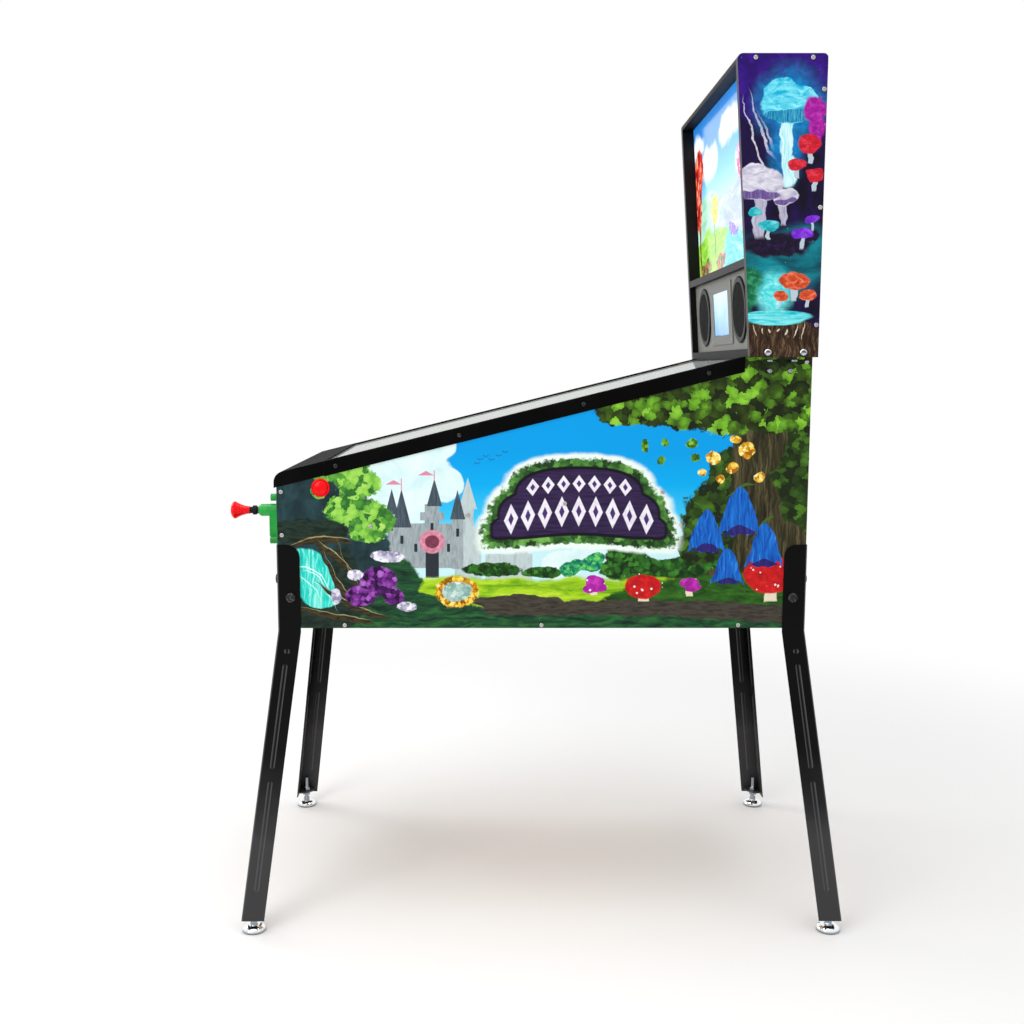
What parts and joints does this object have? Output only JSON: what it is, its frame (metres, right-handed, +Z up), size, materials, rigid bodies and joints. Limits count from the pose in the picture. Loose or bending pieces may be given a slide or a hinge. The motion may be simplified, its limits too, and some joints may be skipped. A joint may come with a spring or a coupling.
{
  "type": "pinball machine",
  "caption": "Upright pinball machine: sloped glass-topped cabinet on splayed steel legs, with a leaning backbox, sprung plunger, side buttons and a hinged service door.",
  "frame": {"origin": "centre of the plan outline, on the floor", "axes": "+Z up, +Y from the player to the rear, +X to the player's right"},
  "size_m": [0.7126, 1.2102, 1.68],
  "materials": {
    "art_side": "printed vinyl on plywood, satin",
    "art_front": "printed vinyl on plywood, satin",
    "art_head": "printed vinyl on board, satin",
    "black_board": "black painted board",
    "plywood": "bare plywood",
    "white_board": "white painted board",
    "grey_panel": "grey painted board",
    "playfield": "printed and clear-coated maple plywood",
    "black_steel": "black powder coat",
    "leg_steel": "black powder coat",
    "apron_steel": "dark blue enamel",
    "green_casting": "green powder coat",
    "zinc_steel": "zinc plated",
    "spring_steel": "bright wire",
    "chrome": "polished chrome plate",
    "ball_steel": "polished",
    "coil": "wound coil in a steel frame",
    "glass": "clear tempered glass",
    "translite_acrylic": "lit printed acrylic",
    "black_plastic": "moulded, matt",
    "red_plastic": "moulded, glossy",
    "amber_plastic": "moulded, clear amber",
    "white_plastic": "moulded, glossy",
    "bumper_plastic": "moulded, glossy",
    "black_rubber": "moulded rubber",
    "circuit_board": "solder-masked glass fibre",
    "display": "painted plate round a glossy screen"
  },
  "bodies": {
    "root": {"side_panel_right": "art_side", "side_panel_left": "art_side", "front_panel": "art_front", "rear_panel": "black_board", "cabinet_floor": "plywood", "neck_board": "plywood", "leg_plates": "zinc_steel", "side_rails": "black_steel", "lockbar": "black_steel", "lockbar_receiver": "zinc_steel", "glass_channels": "black_plastic", "playfield_glass": "glass", "leg_front_right": "leg_steel", "leg_front_left": "leg_steel", "leg_rear_right": "leg_steel", "leg_rear_left": "leg_steel", "leveller_nuts": "chrome", "cabinet_bolts": "chrome", "panel_screws": "black_steel", "plunger_housing": "green_casting", "plunger_spring": "spring_steel", "button_sleeves": "red_plastic", "button_switches": "black_plastic", "door_frame": "black_steel", "door_hinge_pins": "zinc_steel", "playfield_board": "playfield", "playfield_cleats": "plywood", "flipper_coils": "coil", "pop_bumpers": "bumper_plastic", "apron": "apron_steel", "steel_balls": "ball_steel", "control_board": "circuit_board", "power_supply": "zinc_steel", "power_inlet": "black_plastic", "backbox_sides": "art_head", "backbox_top": "black_board", "backbox_floor": "black_board", "backbox_back": "black_board", "translite": "translite_acrylic", "translite_bar": "black_plastic", "lamp_panel": "white_board", "speaker_panel": "grey_panel", "speakers": "black_plastic", "display_module": "display", "backbox_brackets": "black_steel"},
    "plunger": {"plunger_rod": "chrome", "plunger_knob": "red_plastic", "plunger_fittings": "black_rubber"},
    "right_button": {"flipper_button_right": "red_plastic"},
    "left_button": {"flipper_button_left": "red_plastic"},
    "start": {"start_button": "amber_plastic"},
    "door": {"service_door": "black_steel"},
    "lock": {"door_lock": "chrome"},
    "right_flipper": {"flipper_right": "white_plastic"},
    "left_flipper": {"flipper_left": "white_plastic"},
    "foot_front_right": {"leveller_front_right": "chrome"},
    "foot_front_left": {"leveller_front_left": "chrome"},
    "foot_rear_right": {"leveller_rear_right": "chrome"},
    "foot_rear_left": {"leveller_rear_left": "chrome"},
    "rocker": {"power_switch": "red_plastic"}
  },
  "joints": [
    {"name": "plunger_pull", "type": "slide", "parent": "root", "child": "plunger", "axis": [0, -1, 0], "range_m": [0, 0.038], "stiffness_N_per_m": 250, "springref_m": -0.02, "deforming": ["plunger_spring"]},
    {"name": "flipper_button_right_press", "type": "slide", "parent": "root", "child": "right_button", "axis": [-1, 0, 0], "range_m": [0, 0.004], "stiffness_N_per_m": 250, "springref_m": -0.003},
    {"name": "flipper_button_left_press", "type": "slide", "parent": "root", "child": "left_button", "axis": [1, 0, 0], "range_m": [0, 0.004], "stiffness_N_per_m": 250, "springref_m": -0.003},
    {"name": "start_button_press", "type": "slide", "parent": "root", "child": "start", "axis": [0, 1, 0], "range_m": [0, 0.004], "stiffness_N_per_m": 250, "springref_m": -0.003},
    {"name": "service_door_swing", "type": "hinge", "parent": "root", "child": "door", "pos_m": [-0.116, -0.51311, 0.718], "axis": [0, 0, -1], "range_deg": [0, 105]},
    {"name": "door_lock_turn", "type": "hinge", "parent": "door", "child": "lock", "pos_m": [0.086, -0.5047, 0.718], "axis": [0, -1, 0], "range_deg": [0, 90]},
    {"name": "flipper_right_swing", "type": "hinge", "parent": "root", "child": "right_flipper", "pos_m": [0.07239, -0.17636, 0.84283], "axis": [0, 0.1184, -0.993], "range_deg": [0, 52], "stiffness_Nm_per_rad": 0.2, "springref_deg": -11.46},
    {"name": "flipper_left_swing", "type": "hinge", "parent": "root", "child": "left_flipper", "pos_m": [-0.10639, -0.17636, 0.84283], "axis": [0, -0.1184, 0.993], "range_deg": [0, 52], "stiffness_Nm_per_rad": 0.2, "springref_deg": -11.46},
    {"name": "power_switch_rock", "type": "hinge", "parent": "root", "child": "rocker", "pos_m": [-0.15, 0.52729, 0.683], "axis": [1, 0, 0], "range_deg": [0, 14]},
    {"name": "leveller_front_right_turn", "type": "hinge", "parent": "root", "child": "foot_front_right", "pos_m": [0.33331, -0.55851, 0.04], "axis": [0, 0, 1], "continuous": true},
    {"name": "leveller_rear_right_turn", "type": "hinge", "parent": "root", "child": "foot_rear_right", "pos_m": [0.33331, 0.5821, 0.04], "axis": [0, 0, 1], "continuous": true},
    {"name": "leveller_front_left_turn", "type": "hinge", "parent": "root", "child": "foot_front_left", "pos_m": [-0.33331, -0.55851, 0.04], "axis": [0, 0, 1], "continuous": true},
    {"name": "leveller_rear_left_turn", "type": "hinge", "parent": "root", "child": "foot_rear_left", "pos_m": [-0.33331, 0.5821, 0.04], "axis": [0, 0, 1], "continuous": true}
  ]
}
